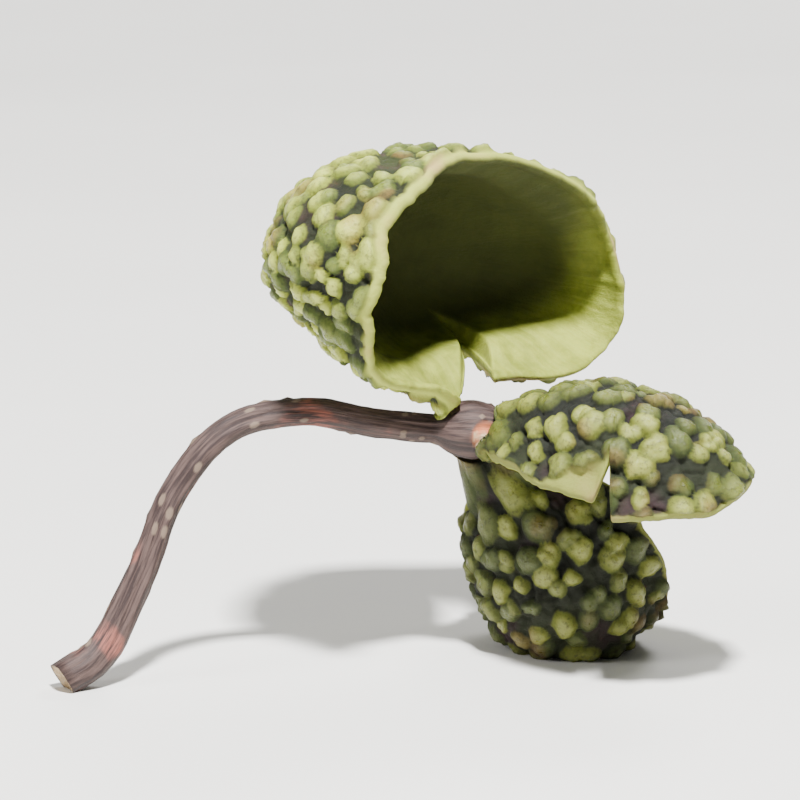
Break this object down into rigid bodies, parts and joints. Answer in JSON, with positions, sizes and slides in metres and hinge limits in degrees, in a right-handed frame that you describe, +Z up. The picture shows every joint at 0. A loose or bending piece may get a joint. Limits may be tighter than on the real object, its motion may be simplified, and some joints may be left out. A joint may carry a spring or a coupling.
{
  "type": "sichuan peppercorn sprig",
  "caption": "Dried green Sichuan pepper husks, empty and gaping, joined at their bases to the knob of a short drooping stalk that lies on a surface.",
  "frame": {"origin": "middle of the footprint, on the surface that the sprig lies on", "axes": "+X from the foot of the stalk towards the boat-shaped husk, +Y from the mouth of the open husk to the back, +Z up"},
  "size_m": [0.0122, 0.0066, 0.0095],
  "materials": {
    "rind": "dried green rind packed with raised oil glands, waxy on the gland tops, with a paler yellow-green lip and a smooth satin lining",
    "stalk": "dry reddish brown bark, matt, with lengthwise wrinkles"
  },
  "bodies": {
    "root": {"stalk": "stalk", "husk_open": "rind", "husk_side": "rind", "husk_under": "rind"}
  },
  "joints": []
}
